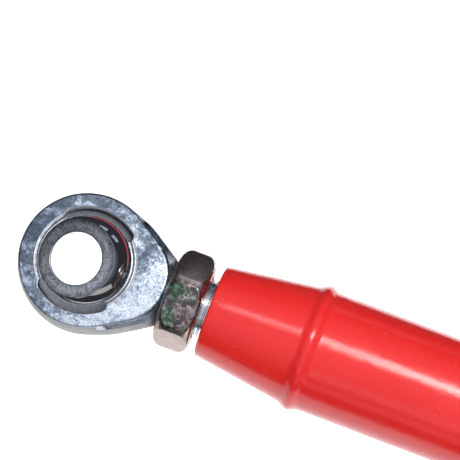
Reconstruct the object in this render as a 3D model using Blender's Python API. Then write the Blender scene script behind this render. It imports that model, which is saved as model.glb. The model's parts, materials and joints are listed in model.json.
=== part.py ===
"""Telescopic hydraulic cylinder: two chromed stages in a red barrel, with a ball-jointed rod end at each end.

Frame: +X runs from the base eye to the rod eye, the pin bores are parallel to +Z, and the origin is the
centre of the base eye's ball. Sizes below are in millimetres and are turned into metres by MM.
The cylinder is drawn with each stage pushed out by REST_EXTENSION.
"""

import math

import bmesh
import bpy
from mathutils import Matrix, Vector

MM = 0.001
GAP = 0.3               # clearance kept between neighbouring pieces

# Rod end (eye, seat, neck and threaded shank), the same at both ends
EYE_THICKNESS = 24.0
FACE_DISCS = ((0.0, 33.2), (17.8, 24.0))                    # (x, radius) discs whose hull is the flat face
WAIST_DISCS = ((0.0, 34.1), (10.0, 30.5), (27.0, 21.3))     # the same at mid-thickness, fuller and with the neck
EYE_END = 41.9          # where the eye stops and the round neck starts
FACE_EDGE = 0.6         # bevel round the face
BALL_RADIUS = 26.0
BALL_WIDTH = 35.0
PIN_BORE = 25.7
SEAT_RADIUS = BALL_RADIUS + GAP
SEAT_CHAMFER_RADIUS = 24.0
SLOT_WIDTH = BALL_WIDTH + 0.5
THREAD_RADIUS = 15.0    # M30
SHANK_END = 94.0
EYE_POINTS = 40         # points round the eye's outline

# Jam nut, M30 thin
NUT_FLATS = 46.0
NUT_HEIGHT = 18.0
NUT_START = 42.3        # distance of its near face from the eye's centre
NUT_ROLL = 17.0         # degrees that one flat is turned away from +Z, toward -Y

# Red barrel: conical end cap, weld and tube
SOCKET_START = 64.4     # distance of a threaded socket's face from its eye's centre
CAP_SMALL_RADIUS = 22.8
CAP_LARGE_RADIUS = 29.8
CAP_EDGE = 1.5
CONE_END = 113.0
SOCKET_DEPTH = 38.0
CAP_END = 124.0
WELD_X = 115.4
WELD_HALF_WIDTH = 5.0
WELD_RADIUS = 31.8
BARREL_RADIUS = 30.0
BARREL_BORE = 26.5
BARREL_END = 392.0

# Oil port on the far side of the barrel
PORT_X = 139.0
PORT_HOLE = 6.0
PORT_BORE = 7.8
PORT_RADIUS = 14.0
PORT_FACE = 44.0        # distance of the sealing face from the barrel's axis

# Barrel gland
GLAND_START = 362.0
GLAND_FLANGE = 34.0
GLAND_END = 404.0

# Stage 1 sleeve, its piston collar and its gland
REST_EXTENSION = 40.0
SLEEVE_RADIUS = 22.5
SLEEVE_BORE = 19.0
SLEEVE_START = 190.0
SLEEVE_END = 444.0
SLEEVE_FLANGE = 27.0
SLEEVE_GLAND_START = 416.0
SLEEVE_GLAND_END = 458.0

# Plunger
PLUNGER_RADIUS = 15.0
PLUNGER_BORE = 10.0
PLUNGER_START = 238.0
PLUNGER_END = SLEEVE_GLAND_END + REST_EXTENSION + 3.0
HEAD_RADIUS = 22.5
HEAD_END = 556.3
HEAD_SOCKET_DEPTH = 31.0
ROD_EYE_X = HEAD_END + SOCKET_START
BLEED_X = 515.0
BLEED_SEAT = 21.5       # distance of the spot-faced flat from the axis

LIMB = 24               # segments round the large turned pieces
RING = 24               # segments round rings and small turned pieces
BALL_SEGMENTS = 32      # segments round the balls and their seats

COLOURS = {
    "red_paint": ((0.80, 0.035, 0.03, 1.0), 0.28, 0.0),
    "zinc": ((0.62, 0.66, 0.72, 1.0), 0.35, 1.0),
    "yellow_zinc": ((0.40, 0.38, 0.28, 1.0), 0.30, 1.0),
    "chrome": ((0.70, 0.71, 0.73, 1.0), 0.10, 1.0),
    "machined_steel": ((0.42, 0.43, 0.45, 1.0), 0.40, 1.0),
    "nylon": ((0.82, 0.78, 0.66, 1.0), 0.55, 0.0),
    "polyurethane": ((0.03, 0.10, 0.35, 1.0), 0.45, 0.0),
    "rubber": ((0.02, 0.02, 0.02, 1.0), 0.60, 0.0),
}


def clear_scene():
    for obj in list(bpy.data.objects):
        bpy.data.objects.remove(obj, do_unlink=True)


def material(name):
    found = bpy.data.materials.get(name)
    if found:
        return found
    colour, roughness, metallic = COLOURS[name]
    made = bpy.data.materials.new(name)
    made.use_nodes = True
    shader = made.node_tree.nodes["Principled BSDF"]
    shader.inputs["Base Color"].default_value = colour
    shader.inputs["Roughness"].default_value = roughness
    shader.inputs["Metallic"].default_value = metallic
    return made


def finish_object(name, bm, finish, smooth=True):
    bmesh.ops.recalc_face_normals(bm, faces=bm.faces)
    mesh = bpy.data.meshes.new(name)
    bm.to_mesh(mesh)
    bm.free()
    if smooth:
        mesh.shade_smooth()
        mesh.set_sharp_from_angle(angle=math.radians(32))
    obj = bpy.data.objects.new(name, mesh)
    bpy.context.scene.collection.objects.link(obj)
    if finish:
        mesh.materials.append(material(finish))
    return obj


def turned(name, profile, finish=None, segments=LIMB, axis="X"):
    """A turned solid from (distance along the axis, radius) points in mm.

    A profile that starts and ends on the axis is a solid; any other is closed into a ring.
    """
    bm = bmesh.new()
    points = [bm.verts.new(Vector((along, 0.0, radius)) * MM) for along, radius in profile]
    edges = [bm.edges.new(pair) for pair in zip(points, points[1:])]
    if profile[0][1] > 0.0 or profile[-1][1] > 0.0:
        edges.append(bm.edges.new((points[-1], points[0])))
    bmesh.ops.spin(bm, geom=points + edges, cent=(0, 0, 0), axis=(1, 0, 0), angle=math.tau,
                   steps=segments, use_merge=True)
    bmesh.ops.remove_doubles(bm, verts=bm.verts, dist=1e-6)
    if axis == "Z":
        bmesh.ops.rotate(bm, verts=bm.verts, matrix=Matrix.Rotation(-math.pi / 2, 3, "Y"))
    return finish_object(name, bm, finish)


def prism(name, outline, low, high, finish=None):
    """An outline of (x, y) points in mm drawn up from low to high along Z."""
    bm = bmesh.new()
    face = bm.faces.new([bm.verts.new(Vector((x, y, low)) * MM) for x, y in outline])
    drawn = bmesh.ops.extrude_face_region(bm, geom=[face])
    verts = [item for item in drawn["geom"] if isinstance(item, bmesh.types.BMVert)]
    bmesh.ops.translate(bm, verts=verts, vec=(0.0, 0.0, (high - low) * MM))
    return finish_object(name, bm, finish, smooth=False)


def combine(obj, other, operation="DIFFERENCE"):
    """Applies a Boolean and keeps the other object out of the build."""
    other.hide_render = True
    other.display_type = "WIRE"
    step = obj.modifiers.new(f"{operation.lower()}_{other.name}", "BOOLEAN")
    step.operation = operation
    step.object = other
    return obj


def place(obj, location=(0.0, 0.0, 0.0), matrix=None):
    """Bakes a move in mm, after an optional rotation, into the mesh."""
    turn = (matrix or Matrix.Identity(3)).to_4x4()
    obj.data.transform(Matrix.Translation(Vector(location) * MM) @ turn)
    return obj


def arc(centre, radius, start, end, steps):
    """(along, radius) points of an arc; angles in degrees from the axis direction."""
    turns = [math.radians(start + (end - start) * step / steps) for step in range(steps + 1)]
    return [(centre[0] + radius * math.cos(turn), centre[1] + radius * math.sin(turn)) for turn in turns]


def outline_radius(discs, angle, end):
    """How far the hull of discs on the X axis, cut off at x = end, reaches from the origin at an angle."""
    reach = end / math.cos(angle) if math.cos(angle) > 1e-6 else math.inf
    for step in range(-88, 90, 2):
        lean = math.radians(step)
        support = max(x * math.cos(angle + lean) + radius for x, radius in discs)
        reach = min(reach, support / math.cos(lean))
    return reach


def eye_blank(name):
    """The forged eye without its seat: flat faces, sides that swell to the waist, drawn out to the neck."""
    half = EYE_THICKNESS / 2
    levels = [(-half, 0.0, FACE_EDGE), (-half + FACE_EDGE, 0.0, 0.0), (-8.0, 0.62, 0.0), (0.0, 1.0, 0.0),
              (8.0, 0.62, 0.0), (half - FACE_EDGE, 0.0, 0.0), (half, 0.0, FACE_EDGE)]
    angles = [math.tau * step / EYE_POINTS for step in range(EYE_POINTS)]
    bm = bmesh.new()
    rings = []
    for z, fullness, inset in levels:
        ring = []
        for angle in angles:
            face = outline_radius(FACE_DISCS, angle, EYE_END)
            waist = outline_radius(WAIST_DISCS, angle, EYE_END)
            radius = face + (waist - face) * fullness - inset
            point = Vector((radius * math.cos(angle), radius * math.sin(angle), z))
            ring.append(bm.verts.new(point * MM))
        rings.append(ring)
    for low, high in zip(rings, rings[1:]):
        for step in range(EYE_POINTS):
            after = (step + 1) % EYE_POINTS
            bm.faces.new((low[step], low[after], high[after], high[step]))
    bm.faces.new(rings[0])
    bm.faces.new(rings[-1])
    return finish_object(name, bm, None)


def rod_end(name, finish):
    """Eye with a spherical seat and loading slots, neck and threaded shank, in its own frame."""
    half = EYE_THICKNESS / 2
    body = eye_blank(name)
    body.data.materials.append(material(finish))
    shank = turned(name + "_shank_stock", [
        (EYE_END - 6.0, 0.0), (EYE_END - 6.0, half - 1.0), (EYE_END - 0.2, half - 1.0),
        (EYE_END - 0.2, THREAD_RADIUS), (SHANK_END - 2.0, THREAD_RADIUS),
        (SHANK_END, THREAD_RADIUS - 2.0), (SHANK_END, 0.0)], segments=RING)
    combine(body, shank, "UNION")

    seat_depth = half - 0.5
    seat_turn = [seat_depth * step / 4 for step in range(-4, 5)]
    mouth = math.sqrt(SEAT_RADIUS ** 2 - seat_depth ** 2)
    flare = SEAT_CHAMFER_RADIUS - mouth + 0.5
    seat = turned(name + "_seat_cutter", [
        (-half - 1.0, 0.0), (-half - 1.0, mouth + flare), (-half, SEAT_CHAMFER_RADIUS),
        *[(z, math.sqrt(SEAT_RADIUS ** 2 - z ** 2)) for z in seat_turn],
        (half, SEAT_CHAMFER_RADIUS), (half + 1.0, mouth + flare), (half + 1.0, 0.0)],
        segments=BALL_SEGMENTS, axis="Z")
    combine(body, seat)

    swing = math.asin(SLOT_WIDTH / 2 / SEAT_RADIUS)
    steps = 12
    slot_radius = SEAT_RADIUS + 0.1
    upper = [math.pi / 2 - swing + 2 * swing * step / steps for step in range(steps + 1)]
    sides = upper + [angle + math.pi for angle in upper]
    outline = [(slot_radius * math.cos(angle), slot_radius * math.sin(angle)) for angle in sides]
    slot = prism(name + "_slot_cutter", outline, -0.6, half + 1.0)
    combine(body, slot)
    return body, (shank, seat, slot)


def ball(name, finish):
    """Pierced ball, its bore along Z, in its own frame."""
    half = BALL_WIDTH / 2
    edge = 0.6
    bore = PIN_BORE / 2
    limit = half - edge
    steps = 8
    heights = [limit * math.sin(math.radians(90 * step / (steps / 2) - 90)) for step in range(steps + 1)]
    face_radius = math.sqrt(BALL_RADIUS ** 2 - limit ** 2) - edge
    return turned(name, [
        (-half, bore + 1.0), (-half, face_radius),
        *[(z, math.sqrt(BALL_RADIUS ** 2 - z ** 2)) for z in heights],
        (half, face_radius), (half, bore + 1.0), (half - 1.0, bore), (-half + 1.0, bore)],
        finish, segments=BALL_SEGMENTS, axis="Z")


def hex_piece(name, flats, low, high, chamfer_radius, bore, finish):
    """Hexagon along X with both ends chamfered and a plain hole; one flat faces +Z."""
    corner = flats / math.sqrt(3)
    corners = [(corner * math.cos(math.radians(60 * step)), corner * math.sin(math.radians(60 * step)))
               for step in range(6)]
    piece = prism(name, corners, low, high, finish)
    place(piece, matrix=Matrix.Rotation(math.pi / 2, 3, "Y") @ Matrix.Rotation(math.pi / 2, 3, "Z"))
    slope = math.tan(math.radians(30))
    rise = (corner + 1.0 - chamfer_radius) * slope
    clear = 1.0
    tip_radius = chamfer_radius - clear / slope
    stock = turned(name + "_chamfer_stock", [
        (low - clear, 0.0), (low - clear, tip_radius), (low + rise, corner + 1.0),
        (high - rise, corner + 1.0), (high + clear, tip_radius), (high + clear, 0.0)])
    combine(piece, stock, "INTERSECT")
    helpers = [stock]
    if bore:
        hole = turned(name + "_hole_cutter", [
            (low - 1.0, 0.0), (low - 1.0, bore + 1.6), (low, bore + 1.0), (low + 1.0, bore),
            (high - 1.0, bore), (high, bore + 1.0), (high + 1.0, bore + 1.6), (high + 1.0, 0.0)],
            segments=RING)
        combine(piece, hole)
        helpers.append(hole)
    return piece, helpers


def eye_assembly(prefix, centre, facing, nut_roll, tilt=None):
    """Rod end, ball and jam nut round an eye at x = centre, its shank pointing along facing times X."""
    flip = Matrix.Identity(3) if facing > 0 else Matrix.Rotation(math.pi, 3, "Z")
    body, helpers = rod_end(prefix + "_rod_end", "zinc")
    for piece in (body, *helpers):
        place(piece, (centre, 0.0, 0.0), flip)
    sphere = ball(prefix + "_ball", "chrome")
    place(sphere, matrix=tilt or Matrix.Identity(3))
    sphere.location = Vector((centre, 0.0, 0.0)) * MM
    nut, nut_helpers = hex_piece(prefix + "_jam_nut", NUT_FLATS, NUT_START, NUT_START + NUT_HEIGHT,
                                 NUT_FLATS * 0.475, THREAD_RADIUS + GAP, "yellow_zinc")
    for piece in (nut, *nut_helpers):
        place(piece, matrix=Matrix.Rotation(math.radians(nut_roll), 3, "X"))
        place(piece, (centre, 0.0, 0.0), flip)


def end_cap():
    """Conical cap screwed to the base rod end, with a spigot in the barrel."""
    slope = (CAP_LARGE_RADIUS - CAP_SMALL_RADIUS) / (CONE_END - SOCKET_START)
    edge_turn = arc((SOCKET_START + CAP_EDGE, CAP_SMALL_RADIUS - CAP_EDGE + slope * CAP_EDGE),
                    CAP_EDGE, 180.0, 98.0, 4)
    socket = THREAD_RADIUS + GAP
    turned("base_end_cap", [
        (SOCKET_START + SOCKET_DEPTH, 0.0), (SOCKET_START + SOCKET_DEPTH, socket),
        (SOCKET_START + 1.5, socket), (SOCKET_START, socket + 1.5),
        *edge_turn, (CONE_END, CAP_LARGE_RADIUS), (WELD_X - 0.4, BARREL_BORE),
        (WELD_X - 0.4, BARREL_BORE - GAP), (CAP_END - 1.5, BARREL_BORE - GAP),
        (CAP_END, BARREL_BORE - GAP - 1.5), (CAP_END, 0.0)], "red_paint")


def girth_weld():
    """Bead in the groove between cap and barrel."""
    rise = WELD_RADIUS - BARREL_RADIUS - GAP
    steps = 8
    crown = []
    for step in range(steps + 1):
        across = -1.0 + 2.0 * step / steps
        toe = BARREL_RADIUS + GAP - 0.35 * max(0.0, -across)
        crown.append((WELD_X + across * WELD_HALF_WIDTH, toe + rise * math.cos(across * math.pi / 2)))
    turned("base_girth_weld", [
        *crown, (WELD_X + 1.95, BARREL_RADIUS + GAP), (WELD_X, BARREL_BORE + 0.6),
        (WELD_X - 1.95, BARREL_RADIUS + 0.15)], "red_paint")


def barrel():
    tube = turned("barrel_tube", [
        (WELD_X + 0.4, BARREL_BORE), (WELD_X + 2.4, BARREL_RADIUS), (BARREL_END - 1.0, BARREL_RADIUS),
        (BARREL_END, BARREL_RADIUS - 1.0), (BARREL_END, BARREL_BORE + 0.8),
        (BARREL_END - 0.8, BARREL_BORE)], "red_paint")
    hole = turned("port_hole_cutter", [(20.0, 0.0), (20.0, PORT_HOLE), (36.0, PORT_HOLE), (36.0, 0.0)],
                  segments=24, axis="Z")
    place(hole, (PORT_X, 0.0, 0.0), Matrix.Rotation(math.pi, 3, "X"))
    combine(tube, hole)


def port():
    """Screwed port boss and its weld, saddled on the barrel's far side."""
    boss = turned("port_boss", [
        (24.0, PORT_HOLE), (24.0, PORT_RADIUS), (PORT_FACE - 1.0, PORT_RADIUS),
        (PORT_FACE, PORT_RADIUS - 1.0), (PORT_FACE, PORT_BORE + 1.2), (PORT_FACE - 1.2, PORT_BORE),
        (33.0, PORT_BORE), (32.0, PORT_HOLE)], "red_paint", segments=32, axis="Z")
    fillet = turned("port_weld", [
        (23.0, PORT_RADIUS + GAP), (23.0, PORT_RADIUS + 5.0), (30.4, PORT_RADIUS + 3.2),
        (32.4, PORT_RADIUS + 2.2), (34.0, PORT_RADIUS + GAP)], "red_paint", segments=32, axis="Z")
    for piece in (boss, fillet):
        place(piece, (PORT_X, 0.0, 0.0), Matrix.Rotation(math.pi, 3, "X"))
        saddle = turned(piece.name + "_saddle_cutter", [
            (PORT_X - 40.0, 0.0), (PORT_X - 40.0, BARREL_RADIUS + GAP),
            (PORT_X + 40.0, BARREL_RADIUS + GAP), (PORT_X + 40.0, 0.0)], segments=LIMB)
        combine(piece, saddle)


def gland(name, start, end, tube_end, tube_bore, flange, rod, finish):
    """Gland that closes a tube and carries the guide ring, rod seal, wiper and O-ring of what slides in it."""
    spigot = tube_bore - GAP
    bore = rod + 0.7
    groove = rod + 3.0
    guide = (start + 4.0, start + 13.0)
    seal = (start + 16.0, start + 22.6)
    wiper = (end - 7.0, end - 1.8)
    o_ring = (tube_end - 4.4, tube_end - 1.2)
    body = turned(name, [
        (start, bore), (start, spigot - 0.8), (start + 0.8, spigot),
        (o_ring[0], spigot), (o_ring[0], spigot - 2.0), (o_ring[1], spigot - 2.0), (o_ring[1], spigot),
        (tube_end + GAP, spigot), (tube_end + GAP, flange - 0.6), (tube_end + GAP + 0.6, flange),
        (end - 1.5, flange), (end, flange - 1.5), (end, groove - 0.8), (wiper[1], groove - 0.8), (wiper[1], groove), (wiper[0], groove), (wiper[0], bore),
        (seal[1], bore), (seal[1], groove), (seal[0], groove), (seal[0], bore),
        (guide[1], bore), (guide[1], groove), (guide[0], groove), (guide[0], bore)], finish)
    for step in range(4):
        hole = turned(f"{name}_spanner_cutter_{step}", [
            (flange - 4.0, 0.0), (flange - 4.0, 2.5), (flange + 2.0, 2.5), (flange + 2.0, 0.0)],
            segments=10, axis="Z")
        quarter = Matrix.Rotation(math.pi / 2 * step + math.pi / 4, 3, "X")
        place(hole, ((tube_end + end) / 2, 0.0, 0.0), quarter)
        combine(body, hole)
    return guide, seal, wiper, o_ring


def sliding_rings(prefix, rod, spans, tube_bore):
    """Guide ring, rod seal, wiper and static O-ring of a gland."""
    guide, seal, wiper, o_ring = spans
    low = rod + GAP
    high = rod + 3.0 - GAP
    turned(prefix + "_guide_ring", [
        (guide[0] + GAP, low), (guide[0] + GAP, high), (guide[1] - GAP, high), (guide[1] - GAP, low)],
        "nylon", segments=RING)
    turned(prefix + "_rod_seal", [
        (seal[0] + GAP, low), (seal[0] + GAP, low + 0.6), (seal[0] + 2.4, low + 1.1),
        (seal[0] + GAP, high - 0.5), (seal[0] + GAP, high), (seal[1] - GAP, high), (seal[1] - GAP, low)],
        "polyurethane", segments=RING)
    turned(prefix + "_wiper", [
        (wiper[0] + GAP, low + 0.2), (wiper[0] + GAP, high), (wiper[1] - GAP, high),
        (wiper[1] - GAP, high - 0.8), (wiper[1] + 0.8, high - 1.1), (wiper[1] + 2.0, low)],
        "polyurethane", segments=RING)
    middle = (o_ring[0] + o_ring[1]) / 2
    cord = 0.85
    section = arc((middle, tube_bore - GAP - cord), cord, 0.0, 300.0, 5)
    turned(prefix + "_o_ring", section, "rubber", segments=RING)


def piston_set(prefix, rod, bore, start, length, tube_bore):
    """Piston collar with two wear rings, held on the inner end of a sliding tube by a snap ring."""
    outer = tube_bore - 0.7
    groove = outer - 1.8
    inner = rod + GAP
    front = start + length
    rings = ((start + 2.5, start + 9.0), (front - 9.0, front - 2.5))
    turned(prefix + "_piston", [
        (start - 2.3, bore), (start - 2.3, outer - 0.8), (start - 1.5, outer),
        *[point for low, high in rings for point in ((low, outer), (low, groove), (high, groove), (high, outer))],
        (front - 0.8, outer), (front, outer - 0.8), (front, inner), (start - GAP, inner),
        (start - GAP, bore)], "machined_steel")
    for place_name, (low, high) in zip(("rear", "front"), rings):
        turned(f"{prefix}_wear_ring_{place_name}", [
            (low + GAP, groove + GAP), (low + GAP, tube_bore - GAP), (high - GAP, tube_bore - GAP),
            (high - GAP, groove + GAP)], "nylon", segments=LIMB)
    turned(prefix + "_snap_ring", [
        (front + GAP, rod - 0.7), (front + GAP, rod + 2.2), (front + 1.8, rod + 2.2),
        (front + 1.8, rod - 0.7)], "machined_steel", segments=RING)


def sliding_tube(name, radius, bore, start, end, snap_x):
    """Chromed tube with the snap ring's groove near its inner end."""
    turned(name, [
        (start, bore + 0.8), (start, radius - 0.8), (start + 0.8, radius), (snap_x, radius),
        (snap_x, radius - 1.0), (snap_x + 2.1, radius - 1.0), (snap_x + 2.1, radius),
        (end - 0.8, radius), (end, radius - 0.8), (end, bore + 0.8), (end - 0.8, bore),
        (start + 0.8, bore)], "chrome")


def plunger_head():
    """Threaded head on the plunger, with an oil passage up to the bleed screw."""
    socket = THREAD_RADIUS + GAP
    floor = HEAD_END - HEAD_SOCKET_DEPTH
    head = turned("plunger_head", [
        (PLUNGER_END - 12.0, 0.0), (PLUNGER_END - 12.0, PLUNGER_BORE - GAP),
        (PLUNGER_END + GAP, PLUNGER_BORE - GAP), (PLUNGER_END + GAP, PLUNGER_RADIUS - 2.0),
        (PLUNGER_END + 2.3, PLUNGER_RADIUS), (PLUNGER_END + 2.3, HEAD_RADIUS - 3.0),
        (PLUNGER_END + 5.0, HEAD_RADIUS), (HEAD_END - 1.5, HEAD_RADIUS), (HEAD_END, HEAD_RADIUS - 1.5),
        (HEAD_END, socket + 1.5), (HEAD_END - 1.5, socket), (floor, socket), (floor, 0.0)],
        "machined_steel")
    feed = turned("oil_feed_cutter", [
        (PLUNGER_END - 13.0, 0.0), (PLUNGER_END - 13.0, 3.0), (BLEED_X + 2.0, 3.0), (BLEED_X + 2.0, 0.0)],
        segments=16)
    bleed = turned("bleed_bore_cutter", [
        (0.0, 0.0), (0.0, 2.2), (8.0, 2.2), (10.0, 5.3), (BLEED_SEAT, 5.3), (BLEED_SEAT, 10.0),
        (30.0, 10.0), (30.0, 0.0)], segments=24, axis="Z")
    place(bleed, (BLEED_X, 0.0, 0.0))
    combine(head, feed)
    combine(head, bleed)


def plunger_weld():
    crown = arc((PLUNGER_END + 0.6, PLUNGER_RADIUS + GAP), 2.0, 0.0, 180.0, 6)
    lean = PLUNGER_END + 0.4
    turned("plunger_weld", [
        (lean + 1.2, PLUNGER_RADIUS + GAP), *[(x - 0.5, r) for x, r in crown]], "machined_steel",
        segments=RING)


def bleed_fitting():
    """Bleed screw with a hexagon head, and the sealing washer under it."""
    low = BLEED_SEAT + GAP
    turn = Matrix.Rotation(-math.pi / 2, 3, "Y")
    screw, helpers = hex_piece("bleed_screw", 13.0, low + 1.8, low + 8.0, 6.1, 0.0, "zinc")
    stem = turned("bleed_stem_stock", [
        (11.5, 0.0), (11.5, 3.0), (13.5, 5.0), (low + 3.0, 5.0), (low + 3.0, 0.0)], segments=24)
    combine(screw, stem, "UNION")
    washer = turned("bleed_washer", [(low, 5.4), (low, 8.6), (low + 1.5, 8.6), (low + 1.5, 5.4)],
                    "rubber", segments=24)
    for piece in (screw, stem, washer, *helpers):
        place(piece, (BLEED_X, 0.0, 0.0), turn)


def main():
    clear_scene()
    # The base ball rests against its stop, leaning toward -X and a little toward -Y.
    lean = Matrix.Rotation(math.radians(14.6), 3, Vector((0.36, -0.93, 0.0)))
    eye_assembly("base", 0.0, 1, NUT_ROLL, lean)
    end_cap()
    girth_weld()
    barrel()
    port()
    spans = gland("barrel_gland", GLAND_START, GLAND_END, BARREL_END, BARREL_BORE, GLAND_FLANGE,
                  SLEEVE_RADIUS, "red_paint")
    sliding_rings("barrel", SLEEVE_RADIUS, spans, BARREL_BORE)

    piston_length = 24.0
    sliding_tube("stage_1_sleeve", SLEEVE_RADIUS, SLEEVE_BORE, SLEEVE_START, SLEEVE_END,
                 SLEEVE_START + piston_length)
    piston_set("stage_1", SLEEVE_RADIUS, SLEEVE_BORE + 0.7, SLEEVE_START, piston_length, BARREL_BORE)
    spans = gland("stage_1_gland", SLEEVE_GLAND_START, SLEEVE_GLAND_END, SLEEVE_END, SLEEVE_BORE,
                  SLEEVE_FLANGE, PLUNGER_RADIUS, "machined_steel")
    sliding_rings("stage_1", PLUNGER_RADIUS, spans, SLEEVE_BORE)

    sliding_tube("plunger_tube", PLUNGER_RADIUS, PLUNGER_BORE, PLUNGER_START, PLUNGER_END,
                 PLUNGER_START + piston_length)
    piston_set("plunger", PLUNGER_RADIUS, PLUNGER_BORE + 0.7, PLUNGER_START, piston_length, SLEEVE_BORE)
    plunger_head()
    plunger_weld()
    bleed_fitting()
    eye_assembly("rod", ROD_EYE_X, -1, 0.0)


main()
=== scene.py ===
"""Looks of a telescopic hydraulic cylinder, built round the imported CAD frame.

+X runs along the cylinder, +Z along the pin bores, and the origin is the centre of the base ball.
Profiles are (distance along the axis, radius) points in millimetres; MM turns them into metres.
"""

import json
import math

import bmesh
import bpy
from mathutils import Matrix, Vector


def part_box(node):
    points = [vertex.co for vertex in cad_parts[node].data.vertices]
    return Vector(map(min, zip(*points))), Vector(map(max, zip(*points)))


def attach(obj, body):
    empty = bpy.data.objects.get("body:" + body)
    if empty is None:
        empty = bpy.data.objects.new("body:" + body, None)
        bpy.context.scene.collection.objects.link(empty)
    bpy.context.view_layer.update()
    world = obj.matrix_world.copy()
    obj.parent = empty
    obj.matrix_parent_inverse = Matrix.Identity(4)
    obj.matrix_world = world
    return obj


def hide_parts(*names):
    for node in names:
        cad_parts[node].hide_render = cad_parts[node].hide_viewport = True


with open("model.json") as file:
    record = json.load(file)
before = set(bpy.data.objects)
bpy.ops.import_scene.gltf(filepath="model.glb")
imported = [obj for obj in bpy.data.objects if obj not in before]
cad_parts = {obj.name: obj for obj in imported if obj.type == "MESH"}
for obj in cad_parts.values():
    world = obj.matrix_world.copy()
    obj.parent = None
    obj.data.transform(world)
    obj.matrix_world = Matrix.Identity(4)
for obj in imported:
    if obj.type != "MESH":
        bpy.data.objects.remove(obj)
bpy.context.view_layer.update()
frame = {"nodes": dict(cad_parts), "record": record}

MM = 0.001
FINE = 144              # segments round large turned pieces
MEDIUM = 96             # segments round small turned pieces


def span(node, axis=0):
    """Lowest and highest coordinate of a CAD node along one axis, in mm."""
    low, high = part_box(node)
    return low[axis] / MM, high[axis] / MM


# ---------------------------------------------------------------- sizes in mm; the frame gives the places
THREAD_RADIUS = 15.0      # M30
THREAD_PITCH = 2.0
THREAD_SLACK = 0.35       # how far a tapped hole clears the thread
EYE_HALF = 12.0           # half the eye's thickness
FACE_DISCS = ((0.5, 32.9), (17.8, 24.2))                    # (x, radius) discs whose hull is the flat face
WAIST_DISCS = ((0.6, 33.9), (10.5, 30.8), (27.3, 21.8))     # the same at mid-thickness
FACE_EDGE = 0.8           # rounding round the face
NOSE_EDGE = 1.3           # how much that rounding grows towards the neck
EYE_END = 41.9            # where the eye stops and the round neck starts
SHANK_END = 94.0
BALL_RADIUS = 26.0
BALL_HALF = 17.5          # half the distance between a ball's side faces
BALL_EDGE = 0.22          # bevel between a side face and the sphere
BORE_RADIUS = 12.85
BORE_EDGE = 0.7           # countersink of the bore
BALL_LEAN = 14.6          # degrees
SEAT_RADIUS = 26.3
SLOT_HALF = 17.75         # half the width of the loading slots
SLOT_CORNER = 1.3
MOUTH_ROLL = 0.35         # rounding along a slot's rim
MOUTH_DEPTH = 0.7         # depth and width of the dressed rim round the seat
MOUTH_WIDTH = 1.4
RIM_DEPTH = 0.66          # rolled edges lie this close to a face
HIGHLIGHT_REACH = 1.6           # rolled edges carry a painted highlight this far out from the seat
ROD_EYE = span("rod_ball")[0] + BALL_RADIUS

NUT_START, NUT_END = span("base_jam_nut")
NUT_SEEN_FLATS = 44.8     # across flats, a little under its nominal size as rolled stock is
NUT_INSET = 0.1           # the drawn nut's faces lie this far inside the CAD's
NUT_ROLL = 15.5           # degrees

CAP_START, CAP_END = span("base_end_cap")
CAP_SMALL = 22.8          # radius where the cone meets the nose
CAP_LARGE = 29.8          # radius where it meets the weld
CAP_EDGE = 1.5            # rounding of the nose
NOSE_LENGTH = 12.0
CONE_END = 113.0
CAP_SPIGOT = 115.0        # where the part inside the tube starts
SPIGOT_GAP = 0.3
SOCKET_DEPTH = 38.0
WELD_START, WELD_END = span("base_girth_weld")
WELD_RADIUS = span("base_girth_weld", 1)[1]
BARREL_START, BARREL_END = span("barrel_tube")
BARREL_RADIUS = span("barrel_tube", 1)[1]
BARREL_BORE = 26.5


# ---------------------------------------------------------------- mesh helpers
def rounded(points, radius, steps=4, closed=False):
    """The same outline with its corners turned into arcs of up to this radius."""
    points = [Vector(point) for point in points]
    count = len(points)
    made = []
    for index, corner in enumerate(points):
        if not closed and index in (0, count - 1):
            made.append(corner)
            continue
        before = points[index - 1] - corner
        after = points[(index + 1) % count] - corner
        turn = before.angle(after, math.pi)
        if turn > math.radians(168) or turn < math.radians(4):
            made.append(corner)
            continue
        back = min(radius / math.tan(turn / 2), 0.45 * before.length, 0.45 * after.length)
        size = back * math.tan(turn / 2)
        bisector = (before.normalized() + after.normalized()).normalized()
        middle = corner + bisector * size / math.sin(turn / 2)
        start = corner + before.normalized() * back - middle
        end = corner + after.normalized() * back - middle
        sweep = start.angle_signed(end)
        for step in range(steps + 1):
            spun = start.copy()
            spun.rotate(Matrix.Rotation(-sweep * step / steps, 2))
            made.append(middle + spun)
    return [(point.x, point.y) for point in made]


def finish_mesh(name, bm, *materials, sharp=32.0):
    """Makes a linked object of a bmesh, smooth except at edges sharper than a number of degrees."""
    bmesh.ops.recalc_face_normals(bm, faces=bm.faces)
    mesh = bpy.data.meshes.new(name)
    bm.to_mesh(mesh)
    bm.free()
    mesh.shade_smooth()
    mesh.set_sharp_from_angle(angle=math.radians(sharp))
    for material in materials:
        mesh.materials.append(material)
    obj = bpy.data.objects.new(name, mesh)
    bpy.context.scene.collection.objects.link(obj)
    return obj


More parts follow.
